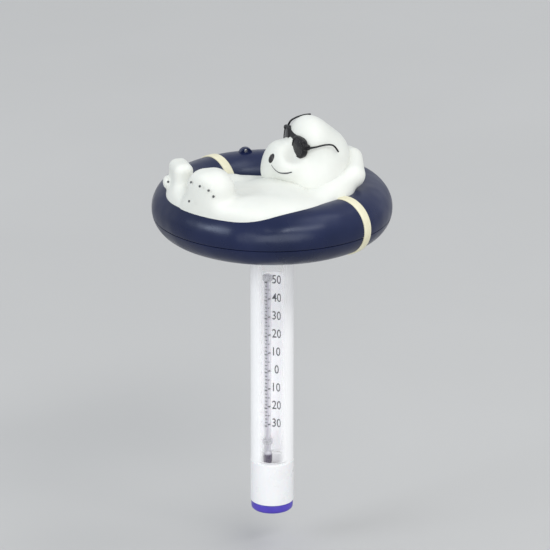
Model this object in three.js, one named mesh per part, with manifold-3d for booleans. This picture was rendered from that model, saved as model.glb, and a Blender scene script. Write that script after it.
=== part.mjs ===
// Floating pool thermometer: a swim ring with a lounging bear on top, and a clear tube with the
// thermometer below. Millimetres, +Z up, origin at the ring's centre on its mid-plane; the bear
// lies along X with its head towards +X, and the scale faces -Y.
import * as THREE from "three";
import { mergeVertices } from "three/addons/utils/BufferGeometryUtils.js";
import Module from "manifold-3d";

const wasm = await Module();
wasm.setup();

// ---- driving dimensions ----
const GAP = 0.3; // between pieces that touch

const RING_R = 46.2; // centre line of the ring's tube
const RING_r = 13.8; // outside radius of the ring's tube
const RING_WALL = 2;
const SEAM_Z = -3;
const DECK_TOP = -6; // floor across the hole of the ring
const DECK_THICK = 2;

const BAND_WIDTH = 5;
const BAND_THICK = 0.45;
const BAND_ANGLES = { front_band: -55.7, rear_band: 111 };

const LUG_WIDTH = 7;
const LUG_DEPTH = 3;
const LUG_CENTRE_Z = 12.7;
const LUG_HOLE_R = 0.9;
const LUG_HOLE_Z = 14.7;

const SOCKET_R = 12.5; // socket under the deck
const SOCKET_BORE_R = 8.7;
const SOCKET_BOTTOM = -23.7;

const TUBE_R = 11;
const TUBE_BORE_R = 9.5;
const TUBE_TOP = -27.3;
const TUBE_STEP = -135.3; // the clear wall steps in here to enter the ballast cup
const TUBE_END = -142.3;
const TUBE_END_BORE_R = 8.2;
const SPIGOT_R = TUBE_BORE_R - GAP;
const PLUG_BOTTOM = -31.7;
const PLUG_TOP = -9;
const PLUG_CHAMFER = 1;
const NECK_SEAL_Z = -14; // middle of the plug's sealing groove
const NECK_GROOVE_HALF = 1.15;
const NECK_GROOVE_R = 6.6;
const NECK_SEAL_R = 7.65; // middle circle of the O-ring
const NECK_SEAL_THICK_R = 0.74;

const CARD_R = 8.55; // printed inner face of the rolled card
const CARD_THICK = 0.4;
const CARD_TOP = -37.8;
const CARD_BOTTOM = -134.3;

const STEM_X = -0.6;
const STEM_Y = 5.6;
const STEM_R = 1.8;
const STEM_BORE_R = 0.7;
const SPIRIT_R = 0.4;
const STEM_TOP = -38.2;
const BULB_R = 2.3;
const BULB_TOP = -134;
const BULB_BOTTOM = -141.2;
const READING_Z = -41.9; // the meniscus stands at the top mark of the scale
const CLIP_HEIGHT = 2.2;
const CLIP_R = 2.6;
const CLIP_Z = { upper_stem_clip: -39.9, lower_stem_clip: -128.4 };

const CUP_BOTTOM = -157.6;
const CUP_FLOOR = -143.5;
const CUP_FLOOR_THICK = 1.8;
const CHAMBER_R = 9.4;
const CUSHION_R = 7.6;
const CAP_R = 10.6;
const CAP_BOTTOM = -162.3;
const CAP_SPIGOT_TOP = -154.5;
const SEAL_Z = -156; // middle of the cap's sealing groove
const SEAL_GROOVE_HALF = 0.9;
const SEAL_ROOT_R = 7.6;
const CAP_SEAL_R = 8.5; // middle circle of the O-ring
const CAP_SEAL_THICK_R = 0.6;
const GASKET_BORE_R = 7.9;
const GASKET_R = 9.1;
const WEIGHT_R = 8.6;
const WEIGHT_LOW = -153.9;
const WEIGHT_HIGH = -145.9;

const BEAR_Y = -11; // the bear lies a little to the front of the ring's centre
const BEAR_WALL = 2.2;
const HEAD = [17, BEAR_Y, 30]; // centre of the head
const HEAD_YAW = 6; // degrees that the face turns to the front
const HEAD_ROLL = 6; // degrees that its far side is raised
const NECK_HOLE_R = 6;
const NECK_HOLE_DROP = 8; // how far below the head's centre the vent hole in the neck ends
const BEAR_REACH = 56; // plan radius that the body and the feet stay within

// the sunglasses, from the head's centre
const EYE = [-9.8, 6.9, 7]; // middle of the far lens
const LENS_WIDTH = 8.2;
const LENS_HEIGHT = 8.6;
const LENS_CORNER = 3.3;
const RIM = 1;
const FRONT_DEPTH = 4.4;
const FRONT_SET_BACK = 3; // how far the front reaches behind the middle of the eye
const LENS_SUNK = 0.3;
const CLEAR_OF_FRONT = 6; // half the depth of a cut that clears the front
const BRIDGE_DEPTH = 2.6;
const BRIDGE_HEIGHT = 3;
const BRIDGE_LIFT = 3.7;
const FRONT_LEAN = 4; // degrees back from upright
const FRONT_WRAP = 11; // degrees that each side wraps back
const TEMPLE_R = 0.9;
const NEAR_TEMPLE = [
  [-7.9, -12.8, 8.4],
  [-4.6, -14.3, 9.4],
  [0.3, -15.3, 10.4],
  [3.9, -15.6, 10],
  [7, -16.5, 6.4],
];
const FAR_TEMPLE = [
  [-7.8, 12.6, 10.2],
  [-7.2, 10.4, 13.9],
  [-5.7, 8.6, 15.8],
  [-3.6, 7.6, 16.9],
  [0.9, 5.4, 18.2],
];

const ROUND = 28; // facets round the thermometer
const RING_ROUND = 44; // facets round the ring
const TAU = 2 * Math.PI;
const rad = THREE.MathUtils.degToRad;

// ---- solids ----
// A geometry as a manifold solid with its faces pointing out.
function solid(geometry) {
  const bare = geometry.clone();
  bare.deleteAttribute("normal");
  bare.deleteAttribute("uv");
  const merged = mergeVertices(bare, 1e-4);
  const corners = merged.index.array;
  const kept = [];
  for (let i = 0; i < corners.length; i += 3) {
    const [a, b, c] = corners.slice(i, i + 3);
    if (a !== b && b !== c && c !== a) kept.push(a, b, c);
  }
  const make = (triangles) =>
    new wasm.Manifold(
      new wasm.Mesh({
        numProp: 3,
        vertProperties: new Float32Array(merged.attributes.position.array),
        triVerts: new Uint32Array(triangles),
      }),
    );
  const first = make(kept);
  if (first.volume() > 0) return first;
  for (let i = 0; i < kept.length; i += 3) [kept[i], kept[i + 1]] = [kept[i + 1], kept[i]];
  return make(kept);
}

function geometryOf(manifold) {
  const { vertProperties, triVerts } = manifold.getMesh();
  const geometry = new THREE.BufferGeometry();
  geometry.setAttribute("position", new THREE.BufferAttribute(vertProperties, 3));
  geometry.setIndex(new THREE.BufferAttribute(triVerts, 1));
  return geometry;
}

const join = (solids) => solids.reduce((sum, next) => sum.add(next));
const cut = (from, ...tools) => tools.reduce((left, tool) => left.subtract(tool), from);

// The largest of the bodies that a cut leaves.
const largest = (manifold) =>
  manifold.decompose().reduce((best, body) => (body.volume() > best.volume() ? body : best));

// A profile of [radius, height] points turned about +Z. It closes on itself or ends on the axis.
function turned(points, facets = ROUND) {
  const profile = points.map(([r, z]) => new THREE.Vector2(r, z));
  if (points[0][0] > 0) profile.push(profile[0].clone());
  return solid(new THREE.LatheGeometry(profile, facets).rotateX(Math.PI / 2));
}

const rod = (r, low, high, facets = ROUND) =>
  turned([[0, low], [r, low], [r, high], [0, high]], facets);

const sleeve = (inner, outer, low, high, facets = ROUND) =>
  turned([[inner, low], [outer, low], [outer, high], [inner, high]], facets);

// Points of an arc in the [radius, height] plane, in degrees.
function arc(centreR, centreZ, r, from, to, steps) {
  return Array.from({ length: steps + 1 }, (_, i) => {
    const angle = rad(from + ((to - from) * i) / steps);
    return [centreR + r * Math.cos(angle), centreZ + r * Math.sin(angle)];
  });
}

const oRing = (centreR, centreZ, sectionR) =>
  turned(arc(centreR, centreZ, sectionR, 0, 315, 7), ROUND);

const box = (low, high) =>
  solid(
    new THREE.BoxGeometry(high[0] - low[0], high[1] - low[1], high[2] - low[2]).translate(
      (low[0] + high[0]) / 2,
      (low[1] + high[1]) / 2,
      (low[2] + high[2]) / 2,
    ),
  );

function limb(from, to, r) {
  const a = new THREE.Vector3(...from);
  const b = new THREE.Vector3(...to);
  const turn = new THREE.Quaternion().setFromUnitVectors(
    new THREE.Vector3(0, 1, 0),
    b.clone().sub(a).normalize(),
  );
  const geometry = new THREE.CapsuleGeometry(r, a.distanceTo(b), 3, 12).applyQuaternion(turn);
  return solid(geometry.translate(...a.add(b).multiplyScalar(0.5).toArray()));
}

// ---- the ring ----
// Degrees round the ring's tube section at a height, on the outer side of radius r.
const sideAngle = (z, r) => THREE.MathUtils.radToDeg(Math.asin(z / r));

function ringTorus(r, facets = RING_ROUND) {
  return turned(arc(RING_R, 0, r, 0, 345, 23), facets);
}

function ringUpperShell() {
  const edge = SEAM_Z + GAP / 2;
  const inside = RING_r - RING_WALL;
  const outer = sideAngle(edge, RING_r);
  const inner = sideAngle(edge, inside);
  const shell = turned(
    [
      ...arc(RING_R, 0, RING_r, outer, 180 - outer, 14),
      ...arc(RING_R, 0, inside, 180 - inner, inner, 8),
    ],
    RING_ROUND,
  );
  return shell.add(tetherLug());
}

function tetherLug() {
  const outline = new THREE.Shape();
  outline.moveTo(-LUG_WIDTH / 2, LUG_CENTRE_Z);
  outline.lineTo(LUG_WIDTH / 2, LUG_CENTRE_Z);
  outline.absarc(0, LUG_CENTRE_Z, LUG_WIDTH / 2, 0, Math.PI, false);
  const hole = new THREE.Path();
  hole.absarc(0, LUG_HOLE_Z, LUG_HOLE_R, 0, TAU, true);
  outline.holes.push(hole);
  const lug = new THREE.ExtrudeGeometry(outline, {
    depth: LUG_DEPTH,
    bevelEnabled: false,
    curveSegments: 12,
  });
  return solid(lug.rotateX(Math.PI / 2).translate(0, RING_R + LUG_DEPTH / 2, 0));
}

function ringLowerShell() {
  const edge = SEAM_Z - GAP / 2;
  const inside = RING_r - RING_WALL;
  const deckBottom = DECK_TOP - DECK_THICK;
  const outer = sideAngle(edge, RING_r);
  const inner = sideAngle(edge, inside);
  const above = -180 - sideAngle(DECK_TOP, RING_r);
  const below = -180 - sideAngle(deckBottom, RING_r);
  return turned(
    [
      [0, DECK_TOP],
      ...arc(RING_R, 0, RING_r, above, -180 - outer, 3),
      ...arc(RING_R, 0, inside, -180 - inner, inner, 8),
      ...arc(RING_R, 0, RING_r, outer, below, 10),
      [SOCKET_R, deckBottom],
      [SOCKET_R, SOCKET_BOTTOM],
      [SOCKET_BORE_R, SOCKET_BOTTOM],
      [SOCKET_BORE_R, deckBottom],
      [0, deckBottom],
    ],
    RING_ROUND,
  );
}

// A strip wrapped round the ring's tube from the deck's edge over the top to the underside.
function bandShape(inner, outer, width) {
  const from = rad(198);
  const to = rad(-136);
  const outline = new THREE.Shape();
  outline.absarc(0, 0, outer, from, to, true);
  outline.absarc(0, 0, inner, to, from, false);
  const strip = new THREE.ExtrudeGeometry(outline, {
    depth: width,
    bevelEnabled: false,
    curveSegments: 24,
  });
  return strip.translate(0, 0, -width / 2).rotateX(Math.PI / 2).translate(RING_R, 0, 0);
}

function band(degrees, grow = 0) {
  const inner = grow ? RING_r - 1 : RING_r + GAP;
  const outer = RING_r + GAP + BAND_THICK + grow;
  return solid(bandShape(inner, outer, BAND_WIDTH + 2 * grow).rotateZ(rad(degrees)));
}

// ---- the bear ----
// The head and the sunglasses are shaped about the head's centre, facing -X, then turned.
const inHeadFrame = (geometry) =>
  geometry.rotateX(rad(HEAD_ROLL)).rotateZ(rad(HEAD_YAW)).translate(...HEAD);

function mass(centre, radii, grow, detail, frame = (geometry) => geometry) {
  const round = new THREE.IcosahedronGeometry(1, detail);
  round.scale(...radii.map((r) => r + grow)).translate(...centre);
  return solid(frame(round));
}

function headSolid(grow = 0, detail = 3) {
  const masses = [
    [[4.2, 0, -2.6], [15, 18, 15.6]], // cranium
    [[-1.3, 0, 9], [9.3, 12.5, 10.1]], // forehead
    [[-2, 0, -8], [14, 16.5, 10.5]], // cheeks
    [[-0.4, 9, -9.8], [12, 12, 10.8]], // far jowl
    [[-0.4, -9, -9.8], [12, 12, 10.8]], // near jowl
    [[3, -5, -12.5], [14, 14, 10]], // neck
    [[-13.9, 5.6, -2.9], [8.2, 8.2, 8.8]], // far half of the muzzle
    [[-13.9, -5.6, -2.9], [8.2, 8.2, 8.8]], // near half
    [[-13.2, 0, -2], [8.4, 8, 8.4]], // middle of the muzzle
    [[-16.6, 3, -9.5], [8, 8, 8]], // chin
  ];
  return join(masses.map(([centre, radii]) => mass(centre, radii, grow, detail, inHeadFrame)));
}

function bodySolid(grow = 0, detail = 3) {
  const side = (offset) => BEAR_Y + offset;
  const masses = [
    [[-5, BEAR_Y, 3.2], [33, 30, 13.2]], // belly and back
    [[12, side(-4), 5], [24, 27, 10.8]], // chest
    [[-3, side(-9), 12], [15, 17, 8.6]], // breast under the chin
    [[24, side(-13), 13], [10, 12, 9]], // near shoulder
    [[-13, side(-26), 9.6], [31, 14, 9.4]], // near flank
    [[-30, side(-8), 6], [26, 24, 11]], // seat
    [[-22, side(17), 4], [20, 13, 11]], // far thigh
    [[-39, side(-15), 18.6], [11.9, 11.5, 13.4]], // near foot
    [[-42, side(-14), 10], [13, 16, 8]], // near heel
    [[-47.8, side(8.5), 18.5], [5.2, 8, 12.4]], // far foot
    [[-48, side(4), 8], [8.5, 14, 10]], // far heel
    [[-53.6, side(13), 17.2], [3.6, 3.2, 3.4]], // outer pad of the far foot
  ];
  const limbs = [
    [[-20, side(15), 9], [-46, side(10), 13], 7], // far shin
    [[8, side(-23), 9], [33.5, side(-14), 19.5], 6.6], // near arm and hand
    [[35, side(-13), 20.8], [37, side(-3), 26], 5.6],
    [[8, side(21), 11], [34, side(17), 16], 7.2], // far arm and hand
    [[35, side(14), 17], [37, side(4), 24.5], 5.8],
  ];
  const whole = join([
    ...masses.map(([centre, radii]) => mass(centre, radii, grow, detail)),
    ...limbs.map(([from, to, r]) => limb(from, to, r + grow)),
  ]);
  return whole.intersect(rod(BEAR_REACH + grow, -60, 60, RING_ROUND));
}

function bearHead() {
  const inside = headSolid(-BEAR_WALL, 1);
  const neckHole = rod(NECK_HOLE_R, 0, HEAD[2] - NECK_HOLE_DROP, 20).translate(HEAD[0], HEAD[1], 0);
  return largest(cut(headSolid(), inside, neckHole, ringTorus(RING_r + GAP)));
}

function bearBody() {
  const floor = box([-90, -90, -60], [90, 90, DECK_TOP + GAP]);
  const bands = Object.values(BAND_ANGLES).map((degrees) => band(degrees, GAP));
  const inside = bodySolid(-BEAR_WALL, 1);
  return largest(
    cut(bodySolid(), inside, headSolid(GAP), ringTorus(RING_r + GAP), floor, ...bands),
  );
}

// ---- the sunglasses ----
function lensOutline(grow) {
  const w = LENS_WIDTH / 2 + grow;
  const h = LENS_HEIGHT / 2 + grow;
  const corner = LENS_CORNER + grow;
  const outline = new THREE.Shape();
  outline.absarc(w - corner, h - corner, corner, 0, Math.PI / 2, false);
  outline.absarc(corner - w, h - corner, corner, Math.PI / 2, Math.PI, false);
  outline.absarc(corner - w, corner - h, corner, Math.PI, 1.5 * Math.PI, false);
  outline.absarc(w - corner, corner - h, corner, 1.5 * Math.PI, TAU, false);
  return outline;
}

// Leans and wraps a piece of the front that faces -X, and sets it before one eye.
function beforeEye(geometry, side) {
  geometry.rotateZ(rad(-side * FRONT_WRAP)).rotateY(rad(FRONT_LEAN));
  return inHeadFrame(geometry.translate(EYE[0], side * EYE[1], EYE[2]));
}

// A plate of the lens outline: side is -1 for the near eye and 1 for the far one.
function eyePlate(side, grow, depth, lift) {
  const plate = new THREE.ExtrudeGeometry(lensOutline(grow), {
    depth,
    bevelEnabled: false,
    curveSegments: 4,
  });
  plate.translate(0, 0, lift).rotateX(Math.PI / 2).rotateZ(-Math.PI / 2);
  return solid(beforeEye(plate, side));
}

function sunglassesFrame() {
  const sides = [-1, 1];
  const rims = sides.map((side) => eyePlate(side, RIM, FRONT_DEPTH, -FRONT_SET_BACK));
  const holes = sides.map((side) => eyePlate(side, 0, 2 * CLEAR_OF_FRONT, -CLEAR_OF_FRONT));
  const bridge = new THREE.BoxGeometry(BRIDGE_DEPTH, 2 * EYE[1], BRIDGE_HEIGHT);
  bridge.translate(EYE[0], 0, EYE[2] + BRIDGE_LIFT);
  const front = cut(join([...rims, solid(inHeadFrame(bridge))]), ...holes);
  return largest(cut(front, headSolid(GAP)));
}

function lens(side) {
  const plate = eyePlate(side, -GAP, FRONT_DEPTH - 2 * LENS_SUNK, LENS_SUNK - FRONT_SET_BACK);
  return largest(cut(plate, headSolid(GAP)));
}

// An arm of the glasses: a thin bar from the hinge along the head.
function temple(side, path) {
  const section = new THREE.Shape().absarc(0, 0, TEMPLE_R, 0, TAU, false);
  const bar = new THREE.ExtrudeGeometry(section, {
    extrudePath: new THREE.CatmullRomCurve3(path.map((point) => new THREE.Vector3(...point))),
    steps: 12,
    curveSegments: 4,
    bevelEnabled: false,
  });
  const room = eyePlate(side, RIM + GAP, 2 * CLEAR_OF_FRONT, -CLEAR_OF_FRONT);
  return largest(cut(solid(inHeadFrame(bar)), headSolid(GAP), room));
}

// ---- the thermometer ----
function neckPlug() {
  const flangeBottom = TUBE_TOP + GAP;
  const plugR = SOCKET_BORE_R - GAP;
  return turned([
    [0, PLUG_BOTTOM],
    [SPIGOT_R, PLUG_BOTTOM],
    [SPIGOT_R, flangeBottom],
    [TUBE_R, flangeBottom],
    [TUBE_R, SOCKET_BOTTOM - GAP],
    [plugR, SOCKET_BOTTOM - GAP],
    [plugR, NECK_SEAL_Z - NECK_GROOVE_HALF],
    [NECK_GROOVE_R, NECK_SEAL_Z - NECK_GROOVE_HALF],
    [NECK_GROOVE_R, NECK_SEAL_Z + NECK_GROOVE_HALF],
    [plugR, NECK_SEAL_Z + NECK_GROOVE_HALF],
    [plugR, PLUG_TOP - PLUG_CHAMFER],
    [plugR - PLUG_CHAMFER, PLUG_TOP],
    [0, PLUG_TOP],
  ]);
}

function outerTube() {
  return turned([
    [TUBE_BORE_R, TUBE_TOP],
    [TUBE_BORE_R, TUBE_STEP + 0.7],
    [TUBE_END_BORE_R, TUBE_STEP - 1],
    [TUBE_END_BORE_R, TUBE_END],
    [SPIGOT_R, TUBE_END],
    [SPIGOT_R, TUBE_STEP],
    [TUBE_R, TUBE_STEP],
    [TUBE_R, TUBE_TOP],
  ]);
}

// A card rolled to a half cylinder, its printed face hollow towards -Y.
function scaleCard() {
  const outline = new THREE.Shape();
  outline.absarc(0, 0, CARD_R + CARD_THICK, 0, Math.PI, false);
  outline.absarc(0, 0, CARD_R, Math.PI, 0, true);
  const card = new THREE.ExtrudeGeometry(outline, {
    depth: CARD_TOP - CARD_BOTTOM,
    bevelEnabled: false,
    curveSegments: 24,
  });
  return solid(card.translate(0, 0, CARD_BOTTOM));
}

function glassStem() {
  const bulbWall = 0.8;
  const outside = [
    [0, BULB_BOTTOM],
    [1.5, BULB_BOTTOM + 0.5],
    [BULB_R, BULB_BOTTOM + 1.8],
    [BULB_R, BULB_TOP - 1.2],
    [STEM_R, BULB_TOP + 0.6],
    [STEM_R, STEM_TOP],
  ];
  const bore = [
    [STEM_BORE_R, STEM_TOP],
    [STEM_BORE_R, BULB_TOP],
    [BULB_R - bulbWall, BULB_TOP - 1.2],
    [BULB_R - bulbWall, BULB_BOTTOM + 1.6],
    [0, BULB_BOTTOM + 1.2],
  ];
  return turned([...outside, ...bore], 24).translate(STEM_X, STEM_Y, 0);
}

const bulbSpirit = () =>
  turned(
    [
      [0, BULB_BOTTOM + 1.6],
      [1.3, BULB_BOTTOM + 2],
      [1.3, BULB_TOP - 1.5],
      [SPIRIT_R, BULB_TOP - 0.9],
      [0, BULB_TOP - 0.9],
    ],
    16,
  ).translate(STEM_X, STEM_Y, 0);

const spiritColumn = () =>
  rod(SPIRIT_R, BULB_TOP - 0.6, READING_Z - 0.6, 12).translate(STEM_X, STEM_Y, 0);

const spiritMeniscus = () =>
  rod(SPIRIT_R, READING_Z - 0.3, READING_Z + 0.2, 12).translate(STEM_X, STEM_Y, 0);

function stemClip(z) {
  const ring = sleeve(STEM_R + GAP, CLIP_R, z - CLIP_HEIGHT / 2, z + CLIP_HEIGHT / 2, 24);
  const room = sleeve(CARD_R - GAP, CARD_R + 4, z - CLIP_HEIGHT, z + CLIP_HEIGHT);
  return largest(cut(ring.translate(STEM_X, STEM_Y, 0), room));
}

function ballastCup() {
  const floorBottom = CUP_FLOOR - CUP_FLOOR_THICK;
  return turned([
    [0, CUP_FLOOR],
    [TUBE_BORE_R, CUP_FLOOR],
    [TUBE_BORE_R, TUBE_STEP - GAP],
    [TUBE_R, TUBE_STEP - GAP],
    [TUBE_R, CUP_BOTTOM],
    [CHAMBER_R, CUP_BOTTOM],
    [CHAMBER_R, floorBottom],
    [0, floorBottom],
  ]);
}

function bottomCap() {
  const spigot = CHAMBER_R - GAP;
  return turned([
    [0, CAP_BOTTOM],
    [CAP_R - 1.2, CAP_BOTTOM],
    [CAP_R - 0.35, CAP_BOTTOM + 0.35],
    [CAP_R, CAP_BOTTOM + 1.2],
    [CAP_R, CUP_BOTTOM - GAP],
    [spigot, CUP_BOTTOM - GAP],
    [spigot, SEAL_Z - SEAL_GROOVE_HALF],
    [SEAL_ROOT_R, SEAL_Z - SEAL_GROOVE_HALF],
    [SEAL_ROOT_R, SEAL_Z + SEAL_GROOVE_HALF],
    [spigot, SEAL_Z + SEAL_GROOVE_HALF],
    [spigot - 0.6, CAP_SPIGOT_TOP],
    [0, CAP_SPIGOT_TOP],
  ]);
}

// ---- materials and the assembly ----
const material = (color, roughness, metalness = 0, extra = {}) =>
  new THREE.MeshStandardMaterial({ color, roughness, metalness, ...extra });

const clear = { transparent: true, opacity: 0.35 };
const navy = material(0x2b3150, 0.38);
const cream = material(0xe8e4c6, 0.6);
const bearWhite = material(0xf2f3ec, 0.6);
const black = material(0x18181b, 0.25);
const whitePlastic = material(0xf3f3f5, 0.35);
const rubber = material(0x202022, 0.8);
const clearPlastic = material(0xf4f6fa, 0.05, 0, clear);
const glass = material(0xe6e4ee, 0.03, 0, clear);
const spirit = material(0x4b2e63, 0.2);
const cardStock = material(0xe4e3ea, 0.7);
const clipGrey = material(0xb4b4ba, 0.4);
const foam = material(0xf4f4f2, 0.9);
const steel = material(0x9a9ca0, 0.35, 1);
const capBlue = material(0x4c40b4, 0.35);

const float = new THREE.Group();
const thermometer = new THREE.Group();

function place(group, name, manifold, look) {
  const mesh = new THREE.Mesh(geometryOf(manifold), look);
  mesh.name = name;
  group.add(mesh);
}

place(float, "ring_upper_shell", ringUpperShell(), navy);
place(float, "ring_lower_shell", ringLowerShell(), navy);
for (const [name, degrees] of Object.entries(BAND_ANGLES)) place(float, name, band(degrees), cream);
place(float, "bear_body", bearBody(), bearWhite);
place(float, "bear_head", bearHead(), bearWhite);
place(float, "sunglasses_frame", sunglassesFrame(), black);
place(float, "near_lens", lens(-1), black);
place(float, "far_lens", lens(1), black);
place(float, "near_temple", temple(-1, NEAR_TEMPLE), black);
place(float, "far_temple", temple(1, FAR_TEMPLE), black);

place(thermometer, "neck_plug", neckPlug(), whitePlastic);
place(thermometer, "neck_o_ring", oRing(NECK_SEAL_R, NECK_SEAL_Z, NECK_SEAL_THICK_R), rubber);
place(thermometer, "outer_tube", outerTube(), clearPlastic);
place(thermometer, "scale_card", scaleCard(), cardStock);
place(thermometer, "glass_stem", glassStem(), glass);
place(thermometer, "bulb_spirit", bulbSpirit(), spirit);
place(thermometer, "spirit_column", spiritColumn(), spirit);
place(thermometer, "spirit_meniscus", spiritMeniscus(), spirit);
for (const [name, z] of Object.entries(CLIP_Z)) place(thermometer, name, stemClip(z), clipGrey);
place(thermometer, "bulb_cushion", rod(CUSHION_R, CUP_FLOOR + GAP, BULB_BOTTOM - GAP), foam);
place(thermometer, "ballast_cup", ballastCup(), whitePlastic);
place(thermometer, "tube_gasket", sleeve(GASKET_BORE_R, GASKET_R, CUP_FLOOR + GAP, TUBE_END - GAP), rubber);
place(thermometer, "ballast_weight", rod(WEIGHT_R, WEIGHT_LOW, WEIGHT_HIGH), steel);
place(thermometer, "bottom_cap", bottomCap(), capBlue);
place(thermometer, "cap_o_ring", oRing(CAP_SEAL_R, SEAL_Z, CAP_SEAL_THICK_R), rubber);

const part = new THREE.Group();
part.add(float, thermometer);
export default part;
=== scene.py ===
from math import asin, cos, degrees, pi, radians, sin, sqrt

import bmesh
import bpy
import numpy as np
from mathutils import Matrix, Vector


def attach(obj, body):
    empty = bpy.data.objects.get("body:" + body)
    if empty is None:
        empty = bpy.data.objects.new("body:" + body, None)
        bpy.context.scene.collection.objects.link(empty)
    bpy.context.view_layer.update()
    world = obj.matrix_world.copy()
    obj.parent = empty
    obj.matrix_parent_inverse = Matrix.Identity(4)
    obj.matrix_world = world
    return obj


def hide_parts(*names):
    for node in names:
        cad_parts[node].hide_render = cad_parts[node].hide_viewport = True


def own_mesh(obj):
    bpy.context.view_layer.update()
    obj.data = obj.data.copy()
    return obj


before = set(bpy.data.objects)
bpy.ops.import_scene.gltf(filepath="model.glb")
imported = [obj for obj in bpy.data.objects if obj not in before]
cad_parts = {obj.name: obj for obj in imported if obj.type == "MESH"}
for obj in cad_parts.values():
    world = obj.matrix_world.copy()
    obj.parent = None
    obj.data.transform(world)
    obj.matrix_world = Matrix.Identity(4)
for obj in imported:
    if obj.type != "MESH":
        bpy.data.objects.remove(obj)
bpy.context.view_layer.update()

SCENE = bpy.context.scene
MM = 0.001

# ---- sizes, in millimetres, of the CAD model ----
RING_R = 46.2
RING_r = 13.8
RING_WALL = 2.0
SEAM_Z = -3.0
DECK_TOP = -6.0
DECK_BOTTOM = -8.0
SOCKET_R = 12.5
SOCKET_BORE_R = 8.7
SOCKET_BOTTOM = -23.7

BAND_WIDTH = 5.0
BAND_THICK = 0.7
BAND_ANGLES = {"front_band": -55.7, "rear_band": 111.0}

TUBE_R = 11.0
TUBE_BORE_R = 9.5
TUBE_TOP = -27.3
TUBE_STEP = -135.3
TUBE_END = -142.3
TUBE_END_BORE_R = 8.2
SPIGOT_R = 9.2
PLUG_R = 8.4
PLUG_BOTTOM = -31.7
PLUG_SHOULDER = -24.0
PLUG_TOP = -9.0
NECK_GROOVE_R = 6.6
NECK_GROOVE_LOW = -15.15
NECK_GROOVE_HIGH = -12.85

CARD_R = 8.55
CARD_THICK = 0.4
CARD_TOP = -37.8
CARD_BOTTOM = -134.3

STEM_X = -0.6
STEM_Y = 5.6
STEM_R = 1.8
STEM_BORE_R = 0.7
STEM_TOP = -38.2
COLUMN_R = 0.4
BULB_R = 2.3
BULB_BORE_R = 1.5
BULB_TOP = -134.0
BULB_BOTTOM = -141.2
READING_Z = -41.9
DEGREES_TOP = 50
MM_PER_DEGREE = 0.971

CUP_BOTTOM = -157.6
CUP_FLOOR = -143.5
CHAMBER_R = 9.4
CAP_R = 10.6
CAP_BOTTOM = -162.3
CAP_TOP = -154.5
CAP_PLUG_R = 9.1
CAP_GROOVE_R = 7.6
CAP_GROOVE_LOW = -156.9
CAP_GROOVE_HIGH = -155.1
FLOOR_DROP = 20.0  # the floor lies clear of the cap at every pose

BEAR_Y = -11.0
BEAR_REACH = 55.8
HEAD = np.array([17.0, BEAR_Y, 30.0])
HEAD_YAW = 6.0
HEAD_ROLL = 6.0
EYE = (-9.8, 6.9, 7.0)


# ---- camera ----
def make_camera():
    """The camera stands in front, a little to the left of the scale's normal, and looks down."""
    azimuth = radians(-17.0)
    elevation = radians(20.0)
    lens_pixels = 4418.0
    frame_pixels = 550.0
    distance = 2200.0
    ring_right = -3.0
    ring_up = 69.0
    right = Vector((cos(azimuth), sin(azimuth), 0))
    back = Vector((sin(azimuth) * cos(elevation), -cos(azimuth) * cos(elevation), sin(elevation)))
    up = back.cross(right)
    data = bpy.data.cameras.new("camera")
    data.sensor_width = 36.0
    data.lens = lens_pixels / frame_pixels * data.sensor_width
    data.clip_start = 0.1
    data.clip_end = 50.0
    camera = bpy.data.objects.new("camera", data)
    SCENE.collection.objects.link(camera)
    turn = Matrix((right, up, back)).transposed().to_4x4()
    place = (back - right * (ring_right / lens_pixels) - up * (ring_up / lens_pixels)) * distance * MM
    camera.matrix_world = Matrix.Translation(place) @ turn
    SCENE.camera = camera


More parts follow.
